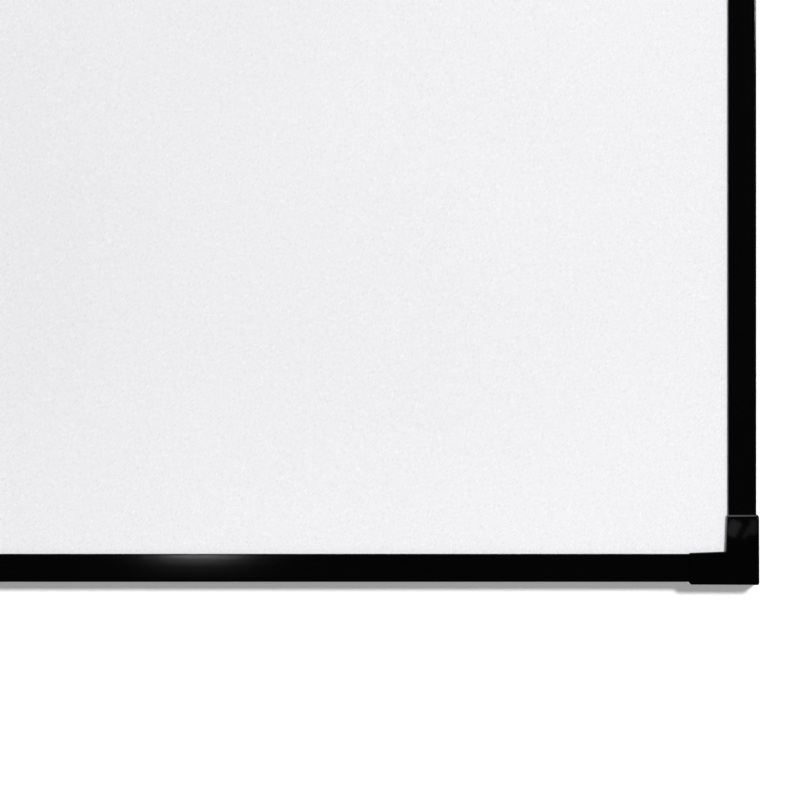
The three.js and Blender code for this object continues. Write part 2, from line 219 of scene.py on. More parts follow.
class RailSizes(PropertyGroup):
    """Section of the extruded rails."""

    wall: millimetres("Wall", "Thickness of the face, the outer wall and the rear flange", 1.6)
    ledge_wall: millimetres("Ledge Wall", "Thickness of the anchor ledge and of the key rib", 1.2)
    outer_round: millimetres("Outer Round", "Radius of the face's outer edge", 0.9)
    inner_round: millimetres("Inner Round", "Radius of the face's inner edge", 0.5)
    crown: millimetres("Crown", "How far the face bows forward between its edges", 0.02)
    edge_round: millimetres("Edge Round", "Radius of the small free edges", 0.25)
    lip_depth: millimetres("Lip Depth", "How far the inner lip reaches back towards the cloth", 3)
    flange_reach: millimetres("Flange Reach", "Width of the rear flange", 14)
    anchor_depth: millimetres("Anchor Depth", "Depth of the ledge that the clips hook on", 14)
    anchor_inset: millimetres("Anchor Inset", "Middle of the ledge's lip from the outer edge", 4.8)
    anchor_tip: millimetres("Anchor Tip", "Depth of the tip of the ledge's lip", 18)
    rib_reach: millimetres("Rib Reach", "How far the key rib stands in from the outer wall", 3)
    key_room: millimetres("Key Room", "Gap between the key rib and the rear flange", 3.6)


class CapSizes(PropertyGroup):
    """Moulded corner caps."""

    outer_draft: millimetres(
        "Outer Draft", "How much a leg's outer wall closes in towards its end", 0.2,
    )
    inner_draft: millimetres(
        "Inner Draft", "How much a leg's inner wall closes in towards its end", 1,
    )
    inner_wall: millimetres("Inner Wall", "Thickness of the wall that faces the picture", 1.4)
    edge_round: millimetres("Edge Round", "Radius of the front edges", 0.8)
    corner_round: millimetres(
        "Corner Round", "Radius of the outer corner and of the legs' inner ends", 1.6,
    )
    end_round: millimetres("End Round", "Radius of the outer corner at a leg's end", 2.5)
    inside_round: millimetres("Inside Round", "Radius of the corner round the picture", 0.4)
    ramp_length: millimetres("Ramp Length", "Length of the curved fall at a leg's end", 3.2)
    ramp_drop: millimetres("Ramp Drop", "How far the curve falls towards the rail", 1.5)
    lip_thickness: millimetres("Lip Thickness", "Thickness of the lip behind the rails", 1.5)
    lip_reach: millimetres("Lip Reach", "How far the lip reaches in behind the rails", 3)
    inner_depth: millimetres(
        "Inner Depth", "Depth of the wall that faces the picture, from the rails' face", 2.8,
    )
    free_edge: millimetres("Free Edge", "Radius of the cap's small free edges", 0.1)


class ClothSizes(PropertyGroup):
    """Screen cloth, its hem and the sleeve round each rod."""

    thickness: millimetres("Thickness", "Thickness of the cloth", 0.48)
    gap: millimetres("Gap", "Gap between the rail's lip and the cloth", 0.3)
    hem_width: millimetres("Hem Width", "How far the hem reaches in behind the picture", 25)
    hem_inset: millimetres("Hem Inset", "Distance of the hem's ends from the picture's corner", 10)
    corner_reach: millimetres(
        "Corner Reach", "How far the cloth's corner reaches behind the rails", 4,
    )
    notch_width: millimetres("Notch Width", "Width of the cut-out for a clip", 18)
    notch_inset: millimetres(
        "Notch Inset", "Inner edge of the cut-out, from the rail's outer edge", 14.8,
    )


class HardwareSizes(PropertyGroup):
    """Clips, screws, bar, feet and hangers."""

    clip_thickness: millimetres("Clip Thickness", "Thickness of the clips' spring steel", 1.2)
    clip_wrap: FloatProperty(
        name="Clip Wrap", description="Where round the rod a clip ends",
        default=math.radians(120), subtype="ANGLE",
    )
    clip_tip_gap: millimetres("Clip Tip Gap", "Gap between a clip's tip and the anchor ledge", 0.6)
    screw_radius: millimetres("Screw Radius", "Radius of the corner screws' shank", 1.9)
    screw_head: millimetres("Screw Head", "Height of the corner screws' head", 2)
    bar_wall: millimetres("Bar Wall", "Wall of the upright support bar", 1.5)
    bar_round: millimetres("Bar Round", "Radius of the bar's long edges", 0.9)
    foot_round: millimetres("Foot Round", "Radius of the feet's corners", 2)
    foot_length: millimetres(
        "Foot Length", "Length of a foot along the bar, without its plug", 10.8,
    )
    hanger_thickness: millimetres("Hanger Thickness", "Thickness of the wall hangers' steel", 2)
    hanger_round: millimetres("Hanger Round", "Radius of the hangers' lower corners", 4)
    slot_length: millimetres("Slot Length", "Length of the hangers' screw slots", 20)
    slot_width: millimetres("Slot Width", "Width of the hangers' screw slots", 5.5)
    slot_spacing: millimetres("Slot Spacing", "Distance between a hanger's two slots", 60)
    slot_inset: millimetres("Slot Inset", "Distance of the slots from the rail's outer edge", 40)
    seed: IntProperty(
        name="Seed", description="Seed for how far each screw was driven round", default=7,
    )


class FinishColours(PropertyGroup):
    """Colours of the finishes."""

    coat: tint("Rail Coat", "Gloss coat of the rails", (0.001, 0.001, 0.0013))
    plastic: tint("Cap Plastic", "Polished plastic of the corner caps", (0.0007, 0.0007, 0.0008))
    cloth: tint("Projection Face", "White face of the cloth", (0.886, 0.883, 0.91))
    backing: tint("Backing", "Dark back of the cloth", (0.02, 0.02, 0.022))
    zinc: tint("Zinc", "Zinc plate on clips, keys and screws", (0.62, 0.63, 0.65))
    fibre: tint("Rod Fibre", "Drawn glass fibre of the rods", (0.72, 0.7, 0.6))
    aluminium: tint("Bar Aluminium", "Mill finish of the support bar", (0.66, 0.67, 0.68))
    moulding: tint("Foot Moulding", "Matt plastic of the support feet", (0.022, 0.022, 0.024))
    hanger: tint("Hanger Coat", "Powder coat of the wall hangers", (0.012, 0.012, 0.013))


class StudioSettings(PropertyGroup):
    """Camera and lights."""

    camera_distance: FloatProperty(
        name="Camera Distance", description="Distance of the camera from the rails' face",
        default=5, unit="LENGTH",
    )
    view_width: FloatProperty(
        name="View Width", description="Width of the view at the rails' face",
        default=0.5672, unit="LENGTH",
    )
    corner_right: FloatProperty(
        name="Corner From Left", description="Pixel column of the cap's outer corner, of 800",
        default=759.3,
    )
    corner_down: FloatProperty(
        name="Corner From Top", description="Pixel row of the cap's outer corner, of 800",
        default=585.0,
    )
    key_power: FloatProperty(
        name="Key Power", description="Power of the key light", default=49, unit="POWER",
    )
    key_distance: FloatProperty(
        name="Key Distance", description="Distance of the key light in front of the wall",
        default=4.02, unit="LENGTH",
    )
    key_aside: FloatProperty(
        name="Key Aside", description="Sideways slope of the key light, per unit of depth", default=0.24,
    )
    key_above: FloatProperty(
        name="Key Above", description="Upward slope of the key light, per unit of depth", default=0.2,
    )
    key_size: FloatProperty(
        name="Key Size", description="Width of the key light's disc", default=0.48, unit="LENGTH",
    )
    key_spread: FloatProperty(
        name="Key Spread", description="Angle of the key light's cone",
        default=math.radians(95.6), subtype="ANGLE",
    )
    key_target: FloatVectorProperty(
        name="Key Target", description="Where the key light aims, from the screen's lower right corner",
        default=(-0.94, 0, -1.39), size=3, subtype="TRANSLATION", unit="LENGTH",
    )
    front_fill: FloatProperty(
        name="Front Fill", description="Strength of the even light from in front", default=0.24,
    )
    rear_fill: FloatProperty(
        name="Rear Fill", description="Strength of the even light from behind", default=0.7,
    )


# Mesh tools.


def rounded(corners, steps=ROUND_STEPS):
    """Points of a closed outline through (x, y, radius) corners, each turned on an arc."""
    points = []
    for i, (x, y, radius) in enumerate(corners):
        corner = Vector((x, y))
        if radius <= 0:
            points.append(corner)
            continue
        before = (Vector(corners[i - 1][:2]) - corner).normalized()
        after = (Vector(corners[(i + 1) % len(corners)][:2]) - corner).normalized()
        half = before.angle(after) / 2
        centre = corner + (before + after).normalized() * (radius / math.sin(half))
        tangent = radius / math.tan(half)
        start = (corner + before * tangent - centre) / radius
        end = (corner + after * tangent - centre) / radius
        points.extend(centre + start.slerp(end, step / steps) * radius for step in range(steps + 1))
    return points


def rounded_box(left, low, right, high, radius, far_radius=None):
    """Outline of a rectangle with rounded corners. Those at its high end can have another radius."""
    far = radius if far_radius is None else far_radius
    return rounded([(left, low, radius), (right, low, radius), (right, high, far), (left, high, far)])


def arc(centre, radius, start, end, steps=10):
    """Points on an arc about a centre, from one angle to another."""
    angles = (start + (end - start) * step / steps for step in range(steps + 1))
    return [Vector(centre) + radius * Vector((math.cos(a), math.sin(a))) for a in angles]


def strip(points, thickness):
    """Outline of a strip of even thickness that follows a line of points."""
    left = []
    right = []
    for i, point in enumerate(points):
        last = max(i, 1)
        following = min(i + 1, len(points) - 1)
        arriving = (points[last] - points[last - 1]).normalized()
        leaving = (points[following] - points[following - 1]).normalized()
        along = (arriving + leaving).normalized()
        across = Vector((-along.y, along.x)) * (thickness / 2 / along.dot(arriving))
        left.append(point + across)
        right.append(point - across)
    return left + right[::-1]


def placed(name, data):
    """A new object in the scene. Several can share one mesh."""
    made = bpy.data.objects.new(name, data)
    bpy.context.collection.objects.link(made)
    return made


def lofted(name, rings):
    """A closed piece through rings of points that match one to one, with flat ends."""
    count = len(rings[0])
    points = [point for ring in rings for point in ring]
    faces = [tuple(range(count)), tuple(range(len(points) - count, len(points)))]
    for first in range(0, len(points) - count, count):
        for i in range(count):
            near, far = first + i, first + (i + 1) % count
            faces.append((near, far, far + count, near + count))
    mesh = bpy.data.meshes.new(name)
    mesh.from_pydata(points, [], faces)
    work = bmesh.new()
    work.from_mesh(mesh)
    bmesh.ops.recalc_face_normals(work, faces=work.faces)
    work.to_mesh(mesh)
    work.free()
    return placed(name, mesh)


def drawn_out(name, section, length, mitred=False):
    """A (u, v) section drawn out along x, with square or mitred ends."""
    rings = []
    for way in (-1, 1):
        cut = [length / 2 - (u + SEAT / math.sqrt(2) if mitred else 0) for u, _ in section]
        rings.append([(way * x, v, -u) for x, (u, v) in zip(cut, section)])
    return lofted(name, rings)


def plate(name, outline, front, back):
    """An (x, z) outline as a plate between two depths."""
    return lofted(name, [[(x, depth, z) for x, z in outline] for depth in (front, back)])


def block(name, low, high):
    """A block between two corners, for cutting."""
    outline = [(low[0], low[2]), (high[0], low[2]), (high[0], high[2]), (low[0], high[2])]
    return plate(name, outline, low[1], high[1])


def turned(name, profile, steps=32):
    """A (radius, depth) profile, open at the axis, turned about y."""
    rings = []
    for radius, depth in profile:
        angles = [2 * math.pi * step / steps for step in range(steps)]
        rings.append([(radius * math.cos(a), depth, radius * math.sin(a)) for a in angles])
    return lofted(name, rings)


def settle(piece):
    """Applies a piece's modifiers to its mesh."""
    graph = bpy.context.evaluated_depsgraph_get()
    old = piece.data
    mesh = bpy.data.meshes.new_from_object(piece.evaluated_get(graph))
    piece.modifiers.clear()
    piece.data = mesh
    mesh.name = piece.name
    bpy.data.meshes.remove(old)
    return piece


def carve(piece, tools, operation="DIFFERENCE"):
    """Cuts the tools out of a piece, keeps what they share with it, or joins them to it."""
    for tool in tools:
        modifier = piece.modifiers.new("carve", "BOOLEAN")
        modifier.operation = operation
        modifier.solver = "EXACT"
        modifier.object = tool
    settle(piece)
    for tool in tools:
        bpy.data.objects.remove(tool)
    return piece


def soften(piece, width, segments=2, angle=40):
    """Rounds a piece's sharp edges."""
    modifier = piece.modifiers.new("soften", "BEVEL")
    modifier.width = width
    modifier.segments = segments
    modifier.limit_method = "ANGLE"
    modifier.angle_limit = math.radians(angle)
    return settle(piece)


def shade(piece, angle=32):
    """Smooth shading that keeps flat faces flat and edges over the angle sharp."""
    piece.data.shade_smooth()
    piece.data.set_sharp_from_angle(angle=math.radians(angle))
    modifier = piece.modifiers.new("flat_faces", "WEIGHTED_NORMAL")
    modifier.keep_sharp = True
    return settle(piece)


def finish(piece, material, node, place=None):
    """Gives a piece its material and place, and lets it stand for its node."""
    if not piece.data.materials:
        piece.data.materials.append(material)
    if place is not None:
        piece.matrix_world = place
    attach(piece, BODY)
    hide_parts(node)
    return piece


# Material tools.


def blank(name):
    """A new material, its node tree and its shader."""
    material = bpy.data.materials.get(name) or bpy.data.materials.new(name)
    material.use_nodes = True
    tree = material.node_tree
    tree.nodes.clear()
    shader = tree.nodes.new("ShaderNodeBsdfPrincipled")
    output = tree.nodes.new("ShaderNodeOutputMaterial")
    tree.links.new(shader.outputs[0], output.inputs["Surface"])
    return material, tree, shader


def node(tree, kind, sockets, output=0, **settings):
    """A node whose sockets are set or linked. Gives back one of its outputs."""
    made = tree.nodes.new(kind)
    for name, value in settings.items():
        setattr(made, name, value)
    for name, value in sockets.items():
        if isinstance(value, bpy.types.NodeSocket):
            tree.links.new(value, made.inputs[name])
        else:
            made.inputs[name].default_value = value
    return made.outputs[output]


def own_coordinates(tree, feature=(1, 1, 1), turn=0):
    """A piece's own coordinates, turned about y and then measured in features of the given size."""
    source = tree.nodes.new("ShaderNodeTexCoord").outputs["Object"]
    sockets = {"Vector": source, "Rotation": (0, math.radians(turn), 0), "Scale": feature}
    return node(tree, "ShaderNodeMapping", sockets, vector_type="TEXTURE")


def noise(tree, place, scale=1, detail=2.0, roughness=0.5):
    """Noise from 0 to 1."""
    sockets = {"Vector": place, "Scale": scale, "Detail": detail, "Roughness": roughness}
    return node(tree, "ShaderNodeTexNoise", sockets)


def spread(tree, value, low, high, start=0.3, end=0.7):
    """A value's middle range spread between two ends."""
    sockets = {"Value": value, "From Min": start, "From Max": end, "To Min": low, "To Max": high}
    return node(tree, "ShaderNodeMapRange", sockets)


def math_node(tree, operation, first, second=0.0):
    """Two values added, multiplied or the like."""
    return node(tree, "ShaderNodeMath", {0: first, 1: second}, operation=operation)


def shades(tree, value, dark, light):
    """A colour between two, by a value from 0 to 1."""
    made = tree.nodes.new("ShaderNodeMix")
    made.data_type = "RGBA"
    tree.links.new(value, made.inputs["Factor"])
    made.inputs[6].default_value = (*dark, 1)
    made.inputs[7].default_value = (*light, 1)
    return made.outputs[2]


def dimmed(colour, share):
    """A colour at a share of its strength."""
    return tuple(channel * share for channel in colour)


def paint(tree, shader, pattern, colour, dark, light=1.0, start=0.3, end=0.7):
    """Colours a surface by a pattern, between two shares of a colour."""
    tone = spread(tree, pattern, 0, 1, start, end)
    painted = shades(tree, tone, dimmed(colour, dark), dimmed(colour, light))
    tree.links.new(painted, shader.inputs["Base Color"])


def roughen(tree, shader, pattern, low, high, start=0.3, end=0.7):
    """Spreads a surface's roughness between two values by a pattern."""
    tree.links.new(spread(tree, pattern, low, high, start, end), shader.inputs["Roughness"])


def relief(tree, shader, pattern, height):
    """Raises a pattern on a surface by the given height."""
    bump = node(tree, "ShaderNodeBump", {"Height": pattern, "Distance": height, "Strength": 1.0})
    tree.links.new(bump, shader.inputs["Normal"])


# Materials. Textures are measured in features, in metres.


def gloss_black_coat(colours):
    """Gloss black coat on extruded aluminium, with faint drawn lines and a fine orange peel."""
    material, tree, shader = blank("gloss_black_coat")
    lines = noise(tree, own_coordinates(tree, feature=(0.4, 0.0012, 0.0012)), detail=3)
    clouds = noise(tree, own_coordinates(tree), scale=14)
    peel = noise(tree, own_coordinates(tree), scale=420, detail=1)
    paint(tree, shader, clouds, colours.coat, dark=0.75)
    roughen(tree, shader, lines, low=0.048, high=0.06)
    relief(tree, shader, peel, height=0.0005 * MM)
    return material


def gloss_black_plastic(colours):
    """Polished black moulding, with a slow ripple from the mould and fine handling marks."""
    material, tree, shader = blank("gloss_black_plastic")
    ripple = noise(tree, own_coordinates(tree), scale=70, detail=1)
    scratches = own_coordinates(tree, feature=(0.0006, 0.0006, 0.004), turn=35)
    marks = noise(tree, scratches, detail=4, roughness=0.7)
    paint(tree, shader, ripple, colours.plastic, dark=0.8)
    roughen(tree, shader, marks, low=0.035, high=0.06)
    relief(tree, shader, ripple, height=0.001 * MM)
    return material


def slubs(tree):
    """Short slanted yarns on a loose lattice, each darker or lighter at random, from 0 to 1."""
    place = own_coordinates(tree, feature=(0.62 * PITCH, PITCH, 1.25 * PITCH), turn=SLANT)
    reach = node(tree, "ShaderNodeTexVoronoi", {"Vector": place, "Scale": 1.0, "Randomness": 0.75})
    chance = node(tree, "ShaderNodeSeparateColor", {0: reach.node.outputs["Color"]})
    near = spread(tree, reach, low=0.5, high=0, start=0.22, end=0.46)
    level = spread(tree, chance, low=-1, high=1, start=0.1, end=0.9)
    return math_node(tree, "ADD", 0.5, math_node(tree, "MULTIPLY", near, level))


def blend(tree, first, second, share):
    """Two values added by the share of the first."""
    return math_node(
        tree, "ADD",
        math_node(tree, "MULTIPLY", first, share),
        math_node(tree, "MULTIPLY", second, 1 - share),
    )


def twill(tree):
    """The cloth's slanted grain from 0 to 1: loose yarns over the weave's fine slanted lines."""
    place = own_coordinates(tree, feature=(0.42 * PITCH, PITCH, 1.4 * PITCH), turn=SLANT)
    return blend(tree, slubs(tree), noise(tree, place, detail=1), share=0.5)


def projection_face(colours):
    """Matt white projection face with a fine slanted grain."""
    material, tree, shader = blank("projection_face")
    grain = twill(tree)
    clouds = noise(tree, own_coordinates(tree), scale=3.2)
    shift = blend(tree, grain, clouds, share=0.85)
    paint(tree, shader, shift, colours.cloth, dark=0.855, light=1.1, start=0.25, end=0.75)
    roughen(tree, shader, grain, low=0.82, high=0.92)
    shader.inputs["Specular IOR Level"].default_value = 0.2
    shader.inputs["Sheen Weight"].default_value = 0.05
    relief(tree, shader, grain, height=0.03 * MM)
    return material


def cloth_backing(colours):
    """Dark coated back of the cloth, with the weave pressed through."""
    material, tree, shader = blank("cloth_backing")
    grain = twill(tree)
    clouds = noise(tree, own_coordinates(tree), scale=6, detail=3)
    paint(tree, shader, clouds, colours.backing, dark=0.8)
    roughen(tree, shader, grain, low=0.55, high=0.72)
    relief(tree, shader, grain, height=0.05 * MM)
    return material


def welded_hem(colours):
    """The white face folded over to the back and welded down in fine ribs."""
    material, tree, shader = blank("welded_hem")
    ribs = node(tree, "ShaderNodeTexWave", {"Vector": own_coordinates(tree, turn=45), "Scale": 110.0},
                "Fac", wave_type="BANDS", bands_direction="X")
    grain = twill(tree)
    paint(tree, shader, grain, colours.cloth, dark=0.9)
    roughen(tree, shader, ribs, low=0.5, high=0.75, start=0, end=1)
    relief(tree, shader, math_node(tree, "ADD", ribs, grain), height=0.05 * MM)
    return material


def zinc_plate(colours):
    """Bright zinc on steel, with rolling lines and a faint spangle."""
    material, tree, shader = blank("zinc_plate")
    spangle = noise(tree, own_coordinates(tree), scale=260)
    lines = noise(tree, own_coordinates(tree, feature=(0.02, 0.0005, 0.0005)), detail=3)
    paint(tree, shader, spangle, colours.zinc, dark=0.82)
    roughen(tree, shader, lines, low=0.28, high=0.42)
    shader.inputs["Metallic"].default_value = 1
    relief(tree, shader, lines, height=0.006 * MM)
    return material


def drawn_fibre(colours):
    """Cream glass fibre rod with long fibres under a satin skin."""
    material, tree, shader = blank("drawn_fibre")
    fibres = noise(tree, own_coordinates(tree, feature=(0.0004, 0.16, 0.0004)), detail=4)
    paint(tree, shader, fibres, colours.fibre, dark=0.82)
    roughen(tree, shader, fibres, low=0.35, high=0.5)
    relief(tree, shader, fibres, height=0.01 * MM)
    return material


def mill_aluminium(colours):
    """Mill finish aluminium with drawn lines along the bar."""
    material, tree, shader = blank("mill_aluminium")
    lines = noise(tree, own_coordinates(tree, feature=(0.0006, 0.0006, 0.25)), detail=4)
    clouds = noise(tree, own_coordinates(tree, feature=(0.03, 0.03, 0.15)))
    paint(tree, shader, clouds, colours.aluminium, dark=0.86)
    roughen(tree, shader, lines, low=0.3, high=0.46)
    shader.inputs["Metallic"].default_value = 1
    relief(tree, shader, lines, height=0.008 * MM)
    return material


def matt_moulding(colours):
    """Matt black plastic with the fine grain of an etched mould."""
    material, tree, shader = blank("matt_moulding")
    grain = noise(tree, own_coordinates(tree), scale=1600, detail=3, roughness=0.6)
    clouds = noise(tree, own_coordinates(tree), scale=40)
    paint(tree, shader, clouds, colours.moulding, dark=0.8)
    roughen(tree, shader, grain, low=0.5, high=0.68)
    relief(tree, shader, grain, height=0.03 * MM)
    return material


def powder_coat(colours):
    """Satin black powder coat with its fine pimpled skin."""
    material, tree, shader = blank("powder_coat")
    pimples = noise(tree, own_coordinates(tree), scale=1100, detail=1)
    clouds = noise(tree, own_coordinates(tree), scale=25, detail=3)
    paint(tree, shader, clouds, colours.hanger, dark=0.8)
    roughen(tree, shader, pimples, low=0.38, high=0.52)
    relief(tree, shader, pimples, height=0.02 * MM)
    return material


# Pieces.


def rail_section(sizes):
    """Outline of a rail: face, outer wall, inner lip, anchor ledge, key rib and rear flange."""
    wall, ledge, edge = sizes.wall, sizes.ledge_wall, sizes.edge_round
    half_lip = ledge / 2
    # Just under half the lip, so that the two rounds of its tip don't meet in one point.
    tip_round = half_lip * 0.99
    ledge_back = sizes.anchor_depth + ledge
    flange_front = RAIL_DEPTH - wall
    rib_back = flange_front - sizes.key_room
    rib_tip = wall + sizes.rib_reach
    outline = rounded([
        (0, 0, sizes.outer_round),
        (FACE, 0, sizes.inner_round),
        (FACE, sizes.lip_depth, edge),
        (FACE - wall, sizes.lip_depth, edge),
        (FACE - wall, wall, edge),
        (wall, wall, edge),
        (wall, sizes.anchor_depth, edge),
        (sizes.anchor_inset + half_lip, sizes.anchor_depth, edge),
        (sizes.anchor_inset + half_lip, sizes.anchor_tip, tip_round),
        (sizes.anchor_inset - half_lip, sizes.anchor_tip, tip_round),
        (sizes.anchor_inset - half_lip, ledge_back, edge),
        (wall, ledge_back, edge),
        (wall, rib_back - ledge, edge),
        (rib_tip, rib_back - ledge, edge),
        (rib_tip, rib_back, edge),
        (wall, rib_back, edge),
        (wall, flange_front, edge),
        (sizes.flange_reach, flange_front, edge),
        (sizes.flange_reach, RAIL_DEPTH, edge),
        (0, RAIL_DEPTH, edge),
    ])
    return crowned(outline, sizes)


def crowned(outline, sizes):
    """The rail's outline with its face bowed: the edges fall back and the middle stays."""
    # The outline starts with the points of the face's outer round.
    first = ROUND_STEPS + 1
    start, end = sizes.outer_round, FACE - sizes.inner_round
    bow = [Vector((start + (end - start) * step / BOW_STEPS, 0)) for step in range(1, BOW_STEPS)]
    bowed = outline[:first] + bow + outline[first:]
    for i in range(first - 1, first + len(bow) + 1):
        bowed[i].y += sizes.crown * ((2 * bowed[i].x - FACE) / FACE) ** 2
    return bowed


def cap_outline(sizes, leg, outer, inset):
    """Outline of a cap, drawn in by an inset, with every round kept on its centre."""
    leg_outer = -(outer - sizes.outer_draft)
    root = FACE + SEAT + sizes.inner_wall
    leg_inner = root - sizes.inner_draft
    corner, end = sizes.corner_round - inset, sizes.end_round - inset
    return rounded([
        (-outer + inset, -outer + inset, corner),
        (leg - inset, leg_outer + inset, end),
        (leg - inset, leg_inner - inset, corner),
        (root - inset, root - inset, sizes.inside_round + inset),
        (leg_inner - inset, leg - inset, corner),
        (leg_outer + inset, leg - inset, end),
    ], steps=CAP_STEPS)


def cap_ramp(sizes, leg, outer, front, way):
    """A cutter that curves the end of a cap's leg down to the rail, along x or along z."""
    length, drop = sizes.ramp_length, sizes.ramp_drop
    radius = (length ** 2 + drop ** 2) / (2 * drop)
    turn = math.asin(length / radius)
    start, past, before = leg - length, leg + PAST, front - PAST
    curve = arc((start, front + radius), radius, -math.pi / 2, turn - math.pi / 2, RAMP_STEPS)
    # The first facet is drawn out past the flat face, so that the cutter crosses it cleanly.
    lead = curve[0] - (curve[1] - curve[0]) * 0.3
    profile = [
        lead, *curve[1:], Vector((past, front + drop)), Vector((past, before)), Vector((lead.x, before)),
    ]
    # Extra rings close to the leg's sides keep the ramp's shading even next to the rounds.
    margin = 1.5 * sizes.edge_round
    asides = (-past, sizes.outer_draft - outer + margin, FACE - margin / 2, past)
    if way == "x":
        rings = [[(along, depth, aside) for along, depth in profile] for aside in asides]
    else:
        rings = [[(aside, depth, along) for along, depth in profile] for aside in asides]
    return lofted("ramp", rings)


def cap_shell(sizes):
    """The cap's moulded shell over a mitred corner, in the corner's own frame."""
    low, high = local_box("corner_cap_bottom_left", corner_place("bottom_left"))
    leg, outer, front = high.x, -low.x, low.y
    back = RAIL_DEPTH + SEAT + sizes.lip_thickness
    radius = sizes.edge_round
    rings = [[(x, back, z) for x, z in cap_outline(sizes, leg, outer, 0)]]
    for step in range(CAP_STEPS + 1):
        angle = math.radians(90 * step / CAP_STEPS)
        inset, depth = radius * (1 - math.cos(angle)), front + radius * (1 - math.sin(angle))
        rings.append([(x, depth, z) for x, z in cap_outline(sizes, leg, outer, inset)])
    piece = lofted("corner_cap", rings)
    past, through = leg + radius, back + radius
    room, lip = (-SEAT, FACE + SEAT), sizes.lip_reach
    flange_front = RAIL_DEPTH - sizes.lip_thickness
    carve(piece, [
        cap_ramp(sizes, leg, outer, front, "x"),
        cap_ramp(sizes, leg, outer, front, "z"),
        block("room", (-SEAT, -SEAT, room[0]), (past, RAIL_DEPTH + SEAT, room[1])),
        block("room", (room[0], -SEAT, -SEAT), (room[1], RAIL_DEPTH + SEAT, past)),
        block("mouth", (lip, flange_front, lip), (past, through, past)),
        block("picture", (FACE - SEAT, sizes.inner_depth, FACE - SEAT), (past, through, past)),
    ])
    return shade(soften(piece, sizes.free_edge, segments=1, angle=50))


def cloth_line(sizes, lip_depth, rod_inset, rod_radius):
    """(u, v) points of the cloth's white side, from the flat panel round the rod to the hem's end.

    Also gives the first and last place of the part that a notch takes away."""
    face = lip_depth + sizes.gap
    radius = rod_radius + SEAT + sizes.thickness
    depth = face + radius
    hem = face + 2 * sizes.thickness
    rise = math.asin((depth - hem) / radius)
    sleeve = arc((rod_inset, depth), radius, -math.pi / 2, -2 * math.pi - rise, SLEEVE_STEPS)
    hem_end = FACE + sizes.hem_width
    flat = [Vector((FACE - sizes.corner_reach, face)), Vector((sizes.notch_inset, face))]
    folded = [
        Vector((sizes.notch_inset, hem)),
        Vector((FACE + sizes.hem_inset, hem)),
        Vector((hem_end, hem)),
    ]
    return flat + sleeve + folded, 1, len(flat) + len(sleeve)


def clip_centres(side):
    """Places of a side's clips along it."""
    count = sum(name.startswith(f"tension_clip_{side}_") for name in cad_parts)
    place = side_place(side)
    centres = []
    for i in range(count):
        low, high = local_box(f"tension_clip_{side}_{i + 1}", place)
        centres.append((low.x + high.x) / 2)
    return centres


def columns(side, half_panel, half_hem, sizes):
    """Places along a side where the cloth's faces meet, from end to end."""
    half_notch = sizes.notch_width / 2
    places = {-half_panel, -half_hem, half_hem, half_panel}
    for centre in clip_centres(side):
        places.update((centre - half_notch, centre, centre + half_notch))
    return sorted(places)


def cloth_strip(work, side, columns_here, half_hem, line, notched, sizes):
    """Adds one side's sleeve and hem to the cloth."""
    place = side_place(side)
    length = SIDES[side][1]
    centres = clip_centres(side)
    along = [x for x in columns_here if abs(x) <= half_hem + HAIR]
    rows = []
    for u, v in line:
        limit = length / 2 - u - SEAT if v > line[0][1] and u > FACE else half_hem
        row = [Vector((max(-limit, min(limit, x)), v, -u)) for x in along]
        rows.append([work.verts.new(place @ point) for point in row])
    for r in range(len(rows) - 1):
        for i in range(len(along) - 1):
            middle = (along[i] + along[i + 1]) / 2
            in_notch = any(abs(middle - centre) < sizes.notch_width / 2 for centre in centres)
            if in_notch and notched[0] <= r < notched[1]:
                continue
            corners = (rows[r][i], rows[r][i + 1], rows[r + 1][i + 1], rows[r + 1][i])
            made = work.faces.new(corners)
            made.material_index = 2 if r >= notched[1] - 1 else 0


def cloth_mesh(sizes, lip_depth):
    """The whole cloth as one sheet: a flat panel, and on each side a sleeve and a hem."""
    low, high = local_box("tension_rod_top", side_place("top"))
    rod_inset, rod_radius = -(low.z + high.z) / 2, (high.z - low.z) / 2
    line, first, last = cloth_line(sizes, lip_depth, rod_inset, rod_radius)
    half_x, half_z = HALF_WIDTH - line[0].x, HALF_HEIGHT - line[0].x
    hem_x = HALF_WIDTH - FACE - sizes.hem_inset
    hem_z = HALF_HEIGHT - FACE - sizes.hem_inset
    across = columns("top", half_x, hem_x, sizes)
    up = columns("right", half_z, hem_z, sizes)
    work = bmesh.new()
    depth = FRONT + line[0].y
    grid = [[work.verts.new((x, depth, z)) for x in across] for z in up]
    for r in range(len(up) - 1):
        for i in range(len(across) - 1):
            work.faces.new((grid[r][i], grid[r][i + 1], grid[r + 1][i + 1], grid[r + 1][i]))
    for side in SIDES:
        along, half_hem = (across, hem_x) if side in ("top", "bottom") else (up, hem_z)
        cloth_strip(work, side, along, half_hem, line, (first, last), sizes)
    bmesh.ops.remove_doubles(work, verts=work.verts, dist=WELD)
    loose = [vert for vert in work.verts if not vert.link_faces]
    bmesh.ops.delete(work, geom=loose, context="VERTS")
    bmesh.ops.recalc_face_normals(work, faces=work.faces)
    middle = Vector((0, depth, 0))
    panel = min(work.faces, key=lambda face: (face.calc_center_median() - middle).length)
    if panel.normal.y > 0:
        bmesh.ops.reverse_faces(work, faces=work.faces)
    mesh = bpy.data.meshes.new("screen_cloth")
    work.to_mesh(mesh)
    work.free()
    wrap = sum((line[i + 1] - line[i]).length for i in range(len(line) - 1))
    return mesh, (2 * (half_x + wrap), 2 * (half_z + wrap))


